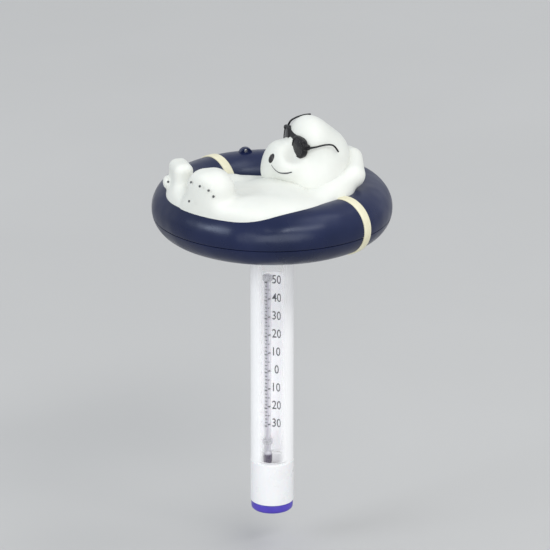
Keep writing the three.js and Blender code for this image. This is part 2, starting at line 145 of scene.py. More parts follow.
# ---- materials ----
class Look:
    """A node material: a Principled surface whose colour, roughness and relief come from noises."""

    def __init__(self, name, roughness, **sockets):
        self.material = bpy.data.materials.new(name)
        self.material.use_nodes = True
        self.tree = self.material.node_tree
        self.shader = self.tree.nodes["Principled BSDF"]
        self.output = self.tree.nodes["Material Output"]
        self.shader.inputs["Roughness"].default_value = roughness
        self.normal = None
        for socket, value in sockets.items():
            self.shader.inputs[socket.replace("_", " ")].default_value = value
        self.place = self.node("ShaderNodeTexCoord").outputs["Object"]

    def node(self, kind, **values):
        made = self.tree.nodes.new(kind)
        for key, value in values.items():
            setattr(made, key, value)
        return made

    def link(self, a, b):
        self.tree.links.new(a, b)

    def noise(self, scale, detail=3.0, rough=0.5, stretch=None):
        made = self.node("ShaderNodeTexNoise")
        made.inputs["Scale"].default_value = scale
        made.inputs["Detail"].default_value = detail
        made.inputs["Roughness"].default_value = rough
        source = self.place
        if stretch:
            mapping = self.node("ShaderNodeMapping")
            mapping.inputs["Scale"].default_value = stretch
            self.link(self.place, mapping.inputs["Vector"])
            source = mapping.outputs["Vector"]
        self.link(source, made.inputs["Vector"])
        return made.outputs["Fac"]

    def ramp(self, source, stops):
        made = self.node("ShaderNodeValToRGB")
        elements = made.color_ramp.elements
        while len(elements) < len(stops):
            elements.new(0.5)
        for element, (at, colour) in zip(elements, stops):
            element.position = at
            element.color = (*colour, 1)
        self.link(source, made.inputs["Fac"])
        return made.outputs["Color"]

    def colour(self, dark, light, scale, low=0.35, high=0.65, **noise):
        source = self.ramp(self.noise(scale, **noise), [(low, dark), (high, light)])
        self.link(source, self.shader.inputs["Base Color"])
        return self

    def vary_roughness(self, low, high, scale, **noise):
        made = self.node("ShaderNodeMapRange")
        made.inputs["From Min"].default_value = 0.3
        made.inputs["From Max"].default_value = 0.7
        made.inputs["To Min"].default_value = low
        made.inputs["To Max"].default_value = high
        self.link(self.noise(scale, **noise), made.inputs["Value"])
        self.link(made.outputs["Result"], self.shader.inputs["Roughness"])
        return self

    def relief(self, source, depth, strength=1.0):
        """Adds bump from a 0..1 height, depth in millimetres."""
        made = self.node("ShaderNodeBump")
        made.inputs["Strength"].default_value = strength
        made.inputs["Distance"].default_value = depth * MM
        self.link(source, made.inputs["Height"])
        if self.normal is not None:
            self.link(self.normal, made.inputs["Normal"])
        self.normal = made.outputs["Normal"]
        self.link(self.normal, self.shader.inputs["Normal"])
        return self

    def thin_wall(self, front, rim, start, end):
        """See-through where the wall is faced, and milky towards its outline: a painted reflection of the
        bright surroundings that clear plastic shows at its edges.
        """
        facing = self.node("ShaderNodeLayerWeight")
        facing.inputs["Blend"].default_value = 0.5
        spread = self.node("ShaderNodeMapRange", interpolation_type="SMOOTHSTEP")
        spread.inputs["From Min"].default_value = start
        spread.inputs["From Max"].default_value = end
        spread.inputs["To Min"].default_value = front
        spread.inputs["To Max"].default_value = rim
        self.link(facing.outputs["Facing"], spread.inputs["Value"])
        self.link(spread.outputs["Result"], self.shader.inputs["Alpha"])
        self.front = spread.inputs["To Min"]
        return self

    def by_height(self, socket, low, high, below, above):
        """Lets a value change from below to above between two heights in millimetres."""
        part = self.node("ShaderNodeSeparateXYZ")
        rise = self.node("ShaderNodeMapRange")
        rise.inputs["From Min"].default_value = low * MM
        rise.inputs["From Max"].default_value = high * MM
        rise.inputs["To Min"].default_value = below
        rise.inputs["To Max"].default_value = above
        self.link(self.place, part.inputs["Vector"])
        self.link(part.outputs["Z"], rise.inputs["Value"])
        self.link(rise.outputs["Result"], socket)
        return self

    def let_lamps_through(self):
        """Lamps and soft light reach what lies behind the wall."""
        path = self.node("ShaderNodeLightPath")
        clear = self.node("ShaderNodeBsdfTransparent")
        mix = self.node("ShaderNodeMixShader")
        either = self.node("ShaderNodeMath", operation="MAXIMUM")
        self.link(path.outputs["Is Shadow Ray"], either.inputs[0])
        self.link(path.outputs["Is Diffuse Ray"], either.inputs[1])
        self.link(either.outputs["Value"], mix.inputs["Fac"])
        self.link(self.shader.outputs["BSDF"], mix.inputs[1])
        self.link(clear.outputs["BSDF"], mix.inputs[2])
        self.link(mix.outputs["Shader"], self.output.inputs["Surface"])
        return self


def navy_vinyl():
    look = Look("navy_vinyl", 0.3, Specular_IOR_Level=0.42, Specular_Tint=(0.80, 0.88, 1, 1))
    look.colour((0.003, 0.007, 0.036), (0.007, 0.012, 0.054), 26, detail=4)
    look.vary_roughness(0.2, 0.42, 45, detail=5)
    look.relief(look.noise(34, detail=2), 3.0, 0.7)
    look.relief(look.noise(1500, detail=2), 0.012, 0.6)
    return look.material


def cream_band():
    look = Look("cream_band", 0.55)
    look.colour((0.70, 0.66, 0.47), (0.82, 0.79, 0.60), 90, detail=6)
    look.vary_roughness(0.45, 0.65, 220)
    look.relief(look.noise(1400, detail=3), 0.03, 0.6)
    return look.material


def bear_white():
    look = Look(
        "bear_white", 0.55,
        Subsurface_Weight=0.12, Subsurface_Radius=(1.0, 0.9, 0.8), Subsurface_Scale=0.0025,
    )
    look.colour((0.69, 0.707, 0.662), (0.74, 0.752, 0.708), 45, detail=5)
    look.vary_roughness(0.5, 0.66, 160)
    look.relief(look.noise(260, detail=3), 0.06, 0.5)
    look.relief(look.noise(2600, detail=2), 0.01, 0.5)
    return look.material


def glasses_black():
    look = Look("glasses_black", 0.3, Specular_IOR_Level=0.3)
    look.colour((0.005, 0.005, 0.007), (0.012, 0.012, 0.014), 180, detail=5)
    look.vary_roughness(0.22, 0.4, 400)
    look.relief(look.noise(900, detail=2), 0.015, 0.5)
    return look.material


def lens_black():
    look = Look("lens_black", 0.2, Specular_IOR_Level=0.35)
    look.colour((0.008, 0.008, 0.011), (0.018, 0.018, 0.023), 220, detail=4)
    look.vary_roughness(0.14, 0.3, 350)
    look.relief(look.noise(240, detail=1), 0.03, 0.4)
    return look.material


def face_paint():
    look = Look("face_paint", 0.35)
    look.colour((0.010, 0.010, 0.012), (0.022, 0.021, 0.024), 500, detail=5)
    look.vary_roughness(0.28, 0.5, 900)
    look.relief(look.noise(1800, detail=3), 0.015, 0.5)
    return look.material


def line_paint():
    look = Look("line_paint", 0.45)
    look.colour((0.045, 0.047, 0.052), (0.085, 0.088, 0.094), 700, detail=5)
    look.vary_roughness(0.35, 0.6, 900)
    return look.material


def white_plastic():
    look = Look("white_plastic", 0.32, Subsurface_Weight=0.06, Subsurface_Scale=0.002)
    look.colour((0.78, 0.78, 0.79), (0.83, 0.83, 0.84), 55, detail=5)
    look.vary_roughness(0.24, 0.42, 130)
    look.relief(look.noise(1700, detail=2), 0.008, 0.5)
    return look.material


def seal_rubber():
    look = Look("seal_rubber", 0.75)
    look.colour((0.016, 0.016, 0.017), (0.035, 0.035, 0.036), 300, detail=6)
    look.vary_roughness(0.65, 0.85, 500)
    look.relief(look.noise(2200, detail=3), 0.02, 0.6)
    return look.material


def clear_tube():
    """Clear, but milky below the step, where it is glued into the cup: painted light laid over the cup's
    shaded inside.
    """
    look = Look("clear_tube", 0.06, Coat_Weight=0.5, Coat_Roughness=0.03)
    look.colour((0.93, 0.93, 0.935), (0.96, 0.96, 0.965), 30, detail=3)
    look.vary_roughness(0.04, 0.12, 90, detail=4)
    look.relief(look.noise(60, detail=1, stretch=(1, 1, 0.12)), 0.03, 0.25)
    # Milky towards the outline: painted reflection of the bright surroundings.
    look.thin_wall(0.04, 0.97, 0.11, 0.42).let_lamps_through()
    # Milky below the step: painted light over the cup's inside, which lies in shade.
    look.by_height(look.front, TUBE_STEP - 0.9, TUBE_STEP + 0.3, 0.75, 0.04)
    return look.material


def stem_glass():
    """Clear glass, but the spirit fills the bulb to its outline, as round glass magnifies it."""
    look = Look("stem_glass", 0.06, Coat_Weight=0.6, Coat_Roughness=0.03)
    clear = look.ramp(
        look.noise(60, stretch=(1, 1, 0.15)),
        [(0.35, (0.70, 0.69, 0.755)), (0.65, (0.79, 0.78, 0.84))],
    )
    violet = look.ramp(look.noise(160), [(0.35, (0.025, 0.012, 0.045)), (0.65, (0.065, 0.038, 0.10))])
    tint = look.node("ShaderNodeMix", data_type="RGBA")
    look.by_height(tint.inputs["Factor"], BULB_TOP - 1.6, BULB_TOP - 0.2, 0, 1)
    look.link(violet, tint.inputs["A"])
    look.link(clear, tint.inputs["B"])
    look.link(tint.outputs["Result"], look.shader.inputs["Base Color"])
    look.vary_roughness(0.04, 0.1, 200, detail=3)
    look.thin_wall(0.4, 0.5, 0.2, 0.9).let_lamps_through()
    look.by_height(look.front, BULB_TOP - 1, BULB_TOP + 1, 0.85, 0.34)
    return look.material


def spirit(name, dark, light):
    look = Look(name, 0.18, Subsurface_Weight=0.2, Subsurface_Scale=0.001)
    look.colour(dark, light, 160, detail=3)
    look.vary_roughness(0.1, 0.25, 300)
    return look.material


def card_stock():
    look = Look("card", 0.7, Subsurface_Weight=0.05, Subsurface_Scale=0.001)
    look.colour((0.93, 0.925, 0.95), (0.965, 0.96, 0.98), 120, detail=8, rough=0.65)
    look.vary_roughness(0.6, 0.8, 500)
    look.relief(look.noise(1600, detail=5, stretch=(1, 1, 0.35)), 0.02, 0.5)
    return look.material


def print_ink():
    look = Look("print_ink", 0.6)
    look.colour((0.010, 0.010, 0.018), (0.035, 0.035, 0.050), 900, detail=6)
    look.vary_roughness(0.5, 0.7, 900)
    return look.material


def clip_plastic():
    look = Look("clip_plastic", 0.4)
    look.colour((0.66, 0.66, 0.70), (0.76, 0.76, 0.80), 400, detail=5)
    look.vary_roughness(0.3, 0.5, 500)
    look.relief(look.noise(1500, detail=2), 0.01, 0.5)
    look.thin_wall(0.25, 0.6, 0.1, 0.8).let_lamps_through()
    return look.material


def foam_white():
    look = Look("foam", 0.9, Sheen_Weight=0.2)
    look.colour((0.80, 0.76, 0.86), (0.90, 0.88, 0.94), 700, detail=4)
    look.vary_roughness(0.85, 0.95, 600)
    look.relief(look.noise(1500, detail=3), 0.12, 0.8)
    return look.material


def ballast_steel():
    look = Look("ballast_steel", 0.35, Metallic=1.0)
    look.colour((0.42, 0.43, 0.45), (0.58, 0.59, 0.61), 90, detail=6, stretch=(1, 1, 9))
    look.vary_roughness(0.25, 0.45, 120, stretch=(1, 1, 14))
    look.relief(look.noise(500, detail=2, stretch=(0.2, 0.2, 6)), 0.02, 0.5)
    return look.material


def cap_blue():
    look = Look("cap_blue", 0.32, Subsurface_Weight=0.05, Subsurface_Scale=0.001)
    look.colour((0.062, 0.040, 0.40), (0.085, 0.055, 0.47), 70, detail=5)
    look.vary_roughness(0.26, 0.42, 150)
    look.relief(look.noise(1500, detail=2), 0.01, 0.5)
    return look.material


def floor_grey():
    look = Look("floor", 0.8, Specular_IOR_Level=0.2)
    look.colour((0.505, 0.505, 0.50), (0.525, 0.525, 0.52), 3, detail=4)
    look.vary_roughness(0.75, 0.85, 8)
    return look.material


NAVY = navy_vinyl()
CREAM = cream_band()
WHITE = bear_white()
BLACK = glasses_black()
LENS = lens_black()
PAINT = face_paint()
LINE = line_paint()
PLASTIC = white_plastic()
RUBBER = seal_rubber()
CLEAR = clear_tube()
GLASS = stem_glass()
SPIRIT = spirit("spirit", (0.030, 0.014, 0.055), (0.070, 0.040, 0.110))
PALE_SPIRIT = spirit("pale_spirit", (0.24, 0.20, 0.33), (0.34, 0.30, 0.43))
CARD = card_stock()
INK = print_ink()
CLIP = clip_plastic()
FOAM = foam_white()
STEEL = ballast_steel()
BLUE = cap_blue()


# ---- meshes ----
def add_piece(name, vertices, faces, body, look, replaces=(), crease=None):
    """A mesh piece from millimetre vertices, faces turned outwards, that rides a body."""
    mesh = bpy.data.meshes.new(name)
    mesh.from_pydata((np.asarray(vertices, float) * MM).tolist(), [], [list(f) for f in faces])
    made = bmesh.new()
    made.from_mesh(mesh)
    bmesh.ops.recalc_face_normals(made, faces=made.faces)
    made.to_mesh(mesh)
    made.free()
    mesh.shade_smooth()
    if crease:
        mesh.set_sharp_from_angle(angle=radians(crease))
    mesh.materials.append(look)
    piece = bpy.data.objects.new(name, mesh)
    SCENE.collection.objects.link(piece)
    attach(piece, body)
    if replaces:
        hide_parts(*replaces)
    return piece


def joined(parts):
    """One (vertices, faces) from several."""
    vertices, faces, start = [], [], 0
    for some, those in parts:
        vertices.append(np.asarray(some, float))
        faces.extend([[i + start for i in face] for face in those])
        start += len(some)
    return np.concatenate(vertices), faces


def rounded(points, closed):
    """A profile of (radius, height) or (radius, height, rounding) points with its corners rounded."""
    made = []
    count = len(points)
    for i, point in enumerate(points):
        r, z = point[:2]
        size = point[2] if len(point) > 2 else 0
        ends = not closed and i in (0, count - 1)
        if not size or ends:
            made.append((r, z))
            continue
        a = np.array(points[i - 1][:2], float)
        b = np.array(points[(i + 1) % count][:2], float)
        p = np.array((r, z), float)
        before = p + (a - p) / np.linalg.norm(a - p) * min(size, 0.49 * np.linalg.norm(a - p))
        after = p + (b - p) / np.linalg.norm(b - p) * min(size, 0.49 * np.linalg.norm(b - p))
        for t in np.linspace(0, 1, 6):
            made.append(tuple((1 - t) ** 2 * before + 2 * t * (1 - t) * p + t * t * after))
    return made


def lathe(points, segments=128, centre=(0, 0)):
    """A profile turned about the vertical line through centre.

    A first point off the axis closes the profile.
    """
    closed = points[0][0] > 1e-6
    profile = rounded(points, closed)
    vertices, rows = [], []
    for r, z in profile:
        start = len(vertices)
        if r < 1e-6:
            vertices.append((centre[0], centre[1], z))
            rows.append([start] * segments)
            continue
        for k in range(segments):
            a = 2 * pi * k / segments
            vertices.append((centre[0] + r * cos(a), centre[1] + r * sin(a), z))
        rows.append(list(range(start, start + segments)))
    faces = []
    for one, two in zip(rows, rows[1:] + rows[:1] if closed else rows[1:]):
        for k in range(segments):
            n = (k + 1) % segments
            corners = list(dict.fromkeys([one[k], one[n], two[n], two[k]]))
            if len(corners) > 2:
                faces.append(corners)
    return vertices, faces


def arc(centre_r, centre_z, r, start, end, steps):
    """Points of an arc in the (radius, height) plane, in degrees."""
    angles = np.radians(np.linspace(start, end, steps + 1))
    return [(centre_r + r * cos(a), centre_z + r * sin(a)) for a in angles]


def swept(path, radii, across=None, sides=14):
    """A round tube of changing radius along a smooth line through the path points."""
    points = np.array(path, float)
    line = smooth_line(points, 10 * (len(points) - 1))
    radius = np.interp(np.linspace(0, 1, len(line)), np.linspace(0, 1, len(radii)), radii)
    tangent = np.gradient(line, axis=0)
    tangent /= np.linalg.norm(tangent, axis=1)[:, None]
    side = np.cross(tangent, across if across is not None else (0, 0, 1.0))
    side /= np.linalg.norm(side, axis=1)[:, None]
    up = np.cross(side, tangent)
    vertices, faces = [], []
    ends = [(-0.7, 0.35), (-0.35, 0.8)]
    rows = [(line[0] + tangent[0] * radius[0] * a, 0, radius[0] * b) for a, b in ends]
    rows += [(line[i], i, radius[i]) for i in range(len(line))]
    rows += [(line[-1] - tangent[-1] * radius[-1] * a, -1, radius[-1] * b) for a, b in reversed(ends)]
    for centre, i, r in rows:
        for k in range(sides):
            a = 2 * pi * k / sides
            vertices.append(centre + (side[i] * cos(a) + up[i] * sin(a)) * r)
    for i in range(len(rows) - 1):
        for k in range(sides):
            n = (k + 1) % sides
            faces.append([i * sides + k, i * sides + n, (i + 1) * sides + n, (i + 1) * sides + k])
    faces.append(list(range(sides)))
    faces.append(list(range((len(rows) - 1) * sides, len(rows) * sides)))
    return vertices, faces


def smooth_line(points, steps):
    """A Catmull-Rom line through the points."""
    ends = np.concatenate([[2 * points[0] - points[1]], points, [2 * points[-1] - points[-2]]])
    made = []
    for t in np.linspace(0, len(points) - 1, steps + 1):
        i = min(int(t), len(points) - 2)
        f = t - i
        a, b, c, d = ends[i], ends[i + 1], ends[i + 2], ends[i + 3]
        made.append(
            0.5 * (2 * b + (c - a) * f + (2 * a - 5 * b + 4 * c - d) * f * f
                   + (3 * b - a - 3 * c + d) * f ** 3)
        )
    return np.array(made)


# ---- soft shapes: distance fields in millimetres, and the surface that they hold ----
def ellipsoid(p, centre, radii):
    q = p - np.array(centre, float)
    r = np.array(radii, float)
    k0 = np.linalg.norm(q / r, axis=-1)
    k1 = np.linalg.norm(q / (r * r), axis=-1) + 1e-9
    return k0 * (k0 - 1) / k1


def bone(p, start, end, r_start, r_end):
    a = np.array(start, float)
    line = np.array(end, float) - a
    q = p - a
    h = np.clip((q @ line) / (line @ line), 0, 1)
    return np.linalg.norm(q - h[..., None] * line, axis=-1) - (r_start + (r_end - r_start) * h)


def block(p, centre, half, r):
    q = np.abs(p - np.array(centre, float)) - (np.array(half, float) - r)
    return np.linalg.norm(np.maximum(q, 0), axis=-1) + np.minimum(q.max(-1), 0) - r


def merge(a, b, k):
    h = np.maximum(k - np.abs(a - b), 0) / k
    return np.minimum(a, b) - h * h * k * 0.25


def carve(a, b, k):
    """a without b, with the edge rounded over k."""
    return -merge(-a, b, k)


def ring_field(p, r=RING_r):
    return np.hypot(np.hypot(p[..., 0], p[..., 1]) - RING_R, p[..., 2]) - r


def surface(field, low, high, step, settle=2):
    """The zero surface of a field as quads: one point per crossed cell, then moved on to the surface."""
    axes = [np.arange(a - step, b + 2 * step, step) for a, b in zip(low, high)]
    points = np.stack(np.meshgrid(*axes, indexing="ij"), axis=-1)
    value = field(points)
    cells = tuple(n - 1 for n in value.shape)
    total = np.zeros(cells + (3,))
    count = np.zeros(cells)
    crossings = []
    for axis in range(3):
        head = [slice(None)] * 3
        tail = [slice(None)] * 3
        head[axis], tail[axis] = slice(0, -1), slice(1, None)
        a, b = value[tuple(head)], value[tuple(tail)]
        crossed = (a < 0) != (b < 0)
        t = np.where(crossed, a / np.where(crossed, a - b, 1), 0)
        at = points[tuple(head)].copy()
        at[..., axis] += t * step
        at *= crossed[..., None]
        u, v = [i for i in range(3) if i != axis]
        for du in (0, 1):
            for dv in (0, 1):
                part = [slice(None)] * 3
                part[u] = slice(du, du + cells[u])
                part[v] = slice(dv, dv + cells[v])
                total += at[tuple(part)]
                count += crossed[tuple(part)]
        crossings.append((crossed, a < 0))
    active = count > 0
    vertices = total[active] / count[active][:, None]
    index = np.full(cells, -1)
    index[active] = np.arange(len(vertices))
    faces = []
    for axis in range(3):
        crossed, inside = crossings[axis]
        u, v = (axis + 1) % 3, (axis + 2) % 3
        i = np.argwhere(crossed)
        keep = (i[:, u] > 0) & (i[:, v] > 0) & (i[:, u] < cells[u]) & (i[:, v] < cells[v])
        i = i[keep]
        outward = inside[tuple(i.T)]
        eu, ev = np.zeros(3, int), np.zeros(3, int)
        eu[u], ev[v] = 1, 1
        corner = [index[tuple((i - a * eu - b * ev).T)] for a, b in ((1, 1), (0, 1), (0, 0), (1, 0))]
        quads = np.stack(corner, axis=1)
        quads[~outward] = quads[~outward][:, ::-1]
        faces.append(quads)
    for _ in range(settle):
        distance = field(vertices)
        slope = gradient(field, vertices)
        size = np.maximum((slope * slope).sum(-1), 0.2)
        vertices -= slope * np.clip(distance / size, -0.5 * step, 0.5 * step)[:, None]
    return vertices, np.concatenate(faces).tolist()


def gradient(field, p, step=0.05):
    return np.stack(
        [(field(p + e) - field(p - e)) / (2 * step) for e in np.eye(3) * step],
        axis=-1,
    )


def onto(field, points, lift=0.0):
    """The points moved along the slope to lie lift above the surface."""
    p = np.array(points, float)
    for _ in range(12):
        slope = gradient(field, p)
        size = np.maximum((slope * slope).sum(-1), 0.2)
        p = p - slope * (field(p) / size)[:, None]
    normal = gradient(field, p)
    normal /= np.linalg.norm(normal, axis=-1)[:, None]
    return p + normal * lift, normal


# ---- the bear ----
def from_head(q):
    """From the head's own frame, in which the face looks along -X, to the part's."""
    q = np.asarray(q, float)
    t, r = radians(HEAD_YAW), radians(HEAD_ROLL)
    y = q[..., 1] * cos(r) - q[..., 2] * sin(r)
    z = q[..., 1] * sin(r) + q[..., 2] * cos(r)
    x = q[..., 0]
    return np.stack([x * cos(t) - y * sin(t), x * sin(t) + y * cos(t), z], axis=-1) + HEAD


def head_field(q):
    """The head in its own frame: skull, brow, cheeks, neck and a broad two-padded muzzle."""
    skull = ellipsoid(q, (4.2, 0, -2.6), (15, 18, 15.6))
    skull = merge(skull, ellipsoid(q, (-1.3, 0, 9.0), (9.3, 12.5, 10.1)), 6)
    skull = merge(skull, ellipsoid(q, (-2, 0, -8), (14, 16.5, 10.5)), 5)
    for side in (-1, 1):
        skull = merge(skull, ellipsoid(q, (-0.4, side * 9, -9.8), (12, 12, 10.8)), 5)
    skull = merge(skull, ellipsoid(q, (3, -5, -12.5), (14, 14, 10)), 6)
    far = ellipsoid(q, (-13.9, 5.6, -3.1), (8.2, 8.2, 8.8))
    near = ellipsoid(q, (-13.9, -5.6, -3.7), (8.2, 8.2, 7.6))
    muzzle = merge(far, near, 6)
    muzzle = merge(muzzle, ellipsoid(q, (-13.2, 0, -2.0), (8.4, 8, 8.4)), 4)
    muzzle = merge(muzzle, ellipsoid(q, (-16.6, 3, -9.5), (8, 8, 8)), 6)
    d = merge(skull, muzzle, 5)
    return carve(d, ellipsoid(q, (-14.2, -9.5, 7.6), (4.6, 5.6, 6.0)), 4)


def across(offset):
    return BEAR_Y + offset


def trunk_field(p):
    d = ellipsoid(p, (-5, BEAR_Y, 3.2), (33, 30, 13.2))
    d = merge(d, ellipsoid(p, (12, across(-4), 5), (24, 27, 10.8)), 6)
    d = merge(d, ellipsoid(p, (-3, across(-9), 12), (15, 17, 8.6)), 5)
    d = merge(d, ellipsoid(p, (24, across(-13), 13), (10, 12, 9)), 5)
    d = merge(d, ellipsoid(p, (-13, across(-26), 9.6), (31, 14, 9.4)), 5)
    d = merge(d, ellipsoid(p, (-30, across(-8), 6), (26, 24, 11)), 6)
    return merge(d, ellipsoid(p, (-22, across(17), 4), (20, 13, 11)), 6)


def feet_field(p):
    near = block(p, (-39.2, across(-15), 18.4), (11.4, 11.0, 12.9), 9.5)
    near = merge(near, ellipsoid(p, (-42, across(-14), 10), (13, 16, 8)), 6)
    far = block(p, (-47.6, across(8.5), 17.3), (4.9, 7.9, 11.7), 3.9)
    far = merge(far, ellipsoid(p, (-48, across(4), 8), (8.5, 14, 10)), 4)
    far = merge(far, ellipsoid(p, (-53.6, across(13), 17.2), (3.6, 3.2, 3.4)), 1.5)
    far = merge(far, bone(p, (-20, across(15), 9), (-43, across(10), 13), 8, 8), 4)
    return merge(near, far, 1.2)


def arms_field(p):
    near = bone(p, (6, across(-24), 6.2), (33.5, across(-14), 20.0), 8.8, 5.4)
    near = merge(near, bone(p, (35, across(-13), 21.2), (37, across(-3), 26), 5.4, 5.4), 3)
    far = bone(p, (8, across(21), 11), (34, across(17), 16), 7.6, 6.6)
    far = merge(far, bone(p, (35, across(14), 17), (37, across(4), 24.5), 6, 5.6), 4)
    return np.minimum(near, far)


def body_field(p):
    """Trunk, feet and arms, held within the ring's edge and let a little into the ring and the deck."""
    d = merge(trunk_field(p), feet_field(p), 2.5)
    d = merge(d, arms_field(p), 2.5)
    reach = BEAR_REACH - np.hypot(p[..., 0], p[..., 1])
    d = carve(d, reach, 3)
    d = np.maximum(d, -ring_field(p, RING_r - 1.6))
    return np.maximum(d, DECK_TOP - 0.3 - p[..., 2])


def skin_field(p):
    """What the paint on the body lies on."""
    return merge(trunk_field(p), feet_field(p), 2.5)


def make_bear():
    fine = 0.62
    low, high = (-57, -60, -7), (46, 20, 36)
    vertices, faces = surface(body_field, low, high, fine)
    add_piece("bear_body_skin", vertices, faces, "float", WHITE, ["bear_body"])
    low, high = (-27, -24, -26), (24, 24, 22)
    vertices, faces = surface(head_field, low, high, 0.5)
    add_piece("bear_head_skin", from_head(vertices), faces, "float", WHITE, ["bear_head"])


def painted_spot(field, centre, normal, wide, tall, proud, rings=6, sides=28):
    """A low dome of paint on a field's surface, oval, with its rim sunk just under the surface."""
    normal = np.array(normal, float)
    side = np.cross((0, 0, 1.0), normal)
    side /= np.linalg.norm(side)
    up = np.cross(normal, side)
    flat, share = [np.array(centre, float)], [0.0]
    for ring in range(1, rings + 1):
        for k in range(sides):
            a = 2 * pi * k / sides
            s = ring / rings
            flat.append(centre + side * (cos(a) * wide * s) + up * (sin(a) * tall * s))
            share.append(s)
    share = np.array(share)
    top, out = onto(field, flat)
    lift = proud * np.sqrt(np.maximum(1 - share ** 2, 0)) - 0.06 * share ** 4
    front = top + out * lift[:, None]
    back = top - out * 0.4
    faces = []
    count = len(flat)

    def row(ring, k):
        return 0 if ring == 0 else 1 + (ring - 1) * sides + k % sides

    for ring in range(rings):
        for k in range(sides):
            corners = [row(ring, k), row(ring, k + 1), row(ring + 1, k + 1), row(ring + 1, k)]
            corners = list(dict.fromkeys(corners))
            faces.append(corners)
            faces.append([i + count for i in reversed(corners)])
    for k in range(sides):
        a, b = row(rings, k), row(rings, k + 1)
        faces.append([a, b, b + count, a + count])
    return np.concatenate([front, back]), faces


def make_face():
    centre, normal = onto(head_field, [(-23.0, -1.8, 0.9)])
    vertices, faces = painted_spot(head_field, centre[0], normal[0], 1.9, 2.6, 0.55)
    add_piece("nose", from_head(vertices), faces, "float", PAINT)
    line = [
        (-23.2, -3.6, -2.0),
        (-23.2, -4.9, -2.7),
        (-23.0, -6.2, -3.2),
        (-22.2, -8.6, -3.9),
        (-21.2, -10.4, -4.0),
        (-18.5, -12.8, -3.4),
        (-16.2, -13.6, -2.7),
    ]
    points, _ = onto(head_field, smooth_line(np.array(line), 24), 0.02)
    radii = [0.10, 0.15, 0.19, 0.24, 0.30, 0.38, 0.26]
    vertices, faces = swept(points, radii, across=(1.0, 0.3, 0.2), sides=12)
    add_piece("mouth", from_head(np.array(vertices)), faces, "float", LINE)


def make_paw_pads():
    spots = [
        (-48.6, -26.5, 25.6),
        (-45.7, -32.2, 25.1),
        (-43.0, -35.1, 24.0),
        (-41.0, -36.8, 21.2),
        (-48.6, -28.9, 16.2),
        (-53.8, -1.0, 18.4),
    ]
    centres, normals = onto(skin_field, spots)
    parts = [
        painted_spot(skin_field, c, n, 0.62, 0.62, 0.22, rings=4, sides=20)
        for c, n in zip(centres, normals)
    ]
    vertices, faces = joined(parts)
    add_piece("paw_pads", vertices, faces, "float", LINE)


# ---- the sunglasses, in the head's frame ----
LENS_HALF = (5.1, 5.3)
LENS_CORNER = 4.3


def eye_frame(q, side):
    """Coordinates of one eye's plate: depth, across and up, leaned back 4 and wrapped 11 degrees."""
    v = q - np.array([EYE[0], side * EYE[1], EYE[2]])
    a, b = radians(-4), radians(side * 11)
    x = v[..., 0] * cos(a) + v[..., 2] * sin(a)
    z = -v[..., 0] * sin(a) + v[..., 2] * cos(a)
    y = v[..., 1]
    return x * cos(b) - y * sin(b), x * sin(b) + y * cos(b), z


def plate(q, side, grow, front, back, edge):
    """A slab of the lens outline from front to back, its edges rounded."""
    x, y, z = eye_frame(q, side)
    wide, tall, corner = LENS_HALF[0] + grow, LENS_HALF[1] + grow, LENS_CORNER + grow
    dy, dz = np.abs(y) - (wide - corner), np.abs(z) - (tall - corner)
    outline = np.hypot(np.maximum(dy, 0), np.maximum(dz, 0)) + np.minimum(np.maximum(dy, dz), 0) - corner
    depth = np.abs(x - (front + back) / 2) - (back - front) / 2
    a, b = outline + edge, depth + edge
    return np.minimum(np.maximum(a, b), 0) + np.hypot(np.maximum(a, 0), np.maximum(b, 0)) - edge


def spectacle_field(q):
    bar = block(q, (-9.7, 0, 10.7), (1.3, 11.0, 1.4), 1.0)
    bridge = block(q, (-9.9, 0, 8.6), (1.1, 3.0, 1.9), 1.0)
    d = merge(bar, bridge, 1.2)
    for side in (-1, 1):
        d = merge(d, plate(q, side, 0, -1.4, 2.0, 1.0), 0.8)
    for side in (-1, 1):
        d = carve(d, plate(q, side, -1.0, -5, -0.9, 0.1), 0.3)
    for side in (-1, 1):
        hinge = block(q, (-8.1, side * 11.9, 8.6), (1.6, 0.9, 1.3), 0.5)
        d = merge(d, hinge, 0.6)
    return d


def lens_field(q, side):
    """A lens that swells a little out of its rim."""
    _, y, z = eye_frame(q, side)
    swell = np.maximum(1 - (y / 5) ** 2 - (z / 5) ** 2, 0)
    return plate(q, side, -0.95, -0.95, 0.4, 0.2) - 0.5 * swell


def make_glasses():
    step = 0.22
    vertices, faces = surface(spectacle_field, (-14, -14, 0), (-5, 14, 14), step, settle=1)
    add_piece(
        "spectacle_front", from_head(vertices), faces, "float", BLACK,
        ["sunglasses_frame"],
    )
    for side, node in ((-1, "near_lens"), (1, "far_lens")):
        low, high = (-14, side * 7 - 7, 0), (-6, side * 7 + 7, 14)
        vertices, faces = surface(lambda q, s=side: lens_field(q, s), low, high, step, settle=1)
        add_piece(node + "_glass", from_head(vertices), faces, "float", LENS, [node])
    near = [
        (-7.9, -12.5, 8.4),
        (-4.6, -14.3, 9.4),
        (0.3, -15.3, 10.4),
        (3.9, -15.6, 10.0),
        (5.7, -16.0, 8.5),
        (7.0, -16.5, 6.4),
    ]
    far = [
        (-8.3, 12.0, 9.6),
        (-7.6, 10.0, 13.7),
        (-5.7, 8.6, 15.8),
        (-3.6, 7.6, 16.9),
        (-1.6, 6.6, 17.7),
        (0.9, 5.4, 18.2),
    ]
    for name, path in (("near_temple", near), ("far_temple", far)):
        points = smooth_line(np.array(path), 20)
        vertices, faces = swept(points, [0.60, 0.47, 0.42, 0.42, 0.44, 0.46], sides=16)
        add_piece(
            name + "_arm", from_head(np.array(vertices)), faces, "float", BLACK, [name]
        )


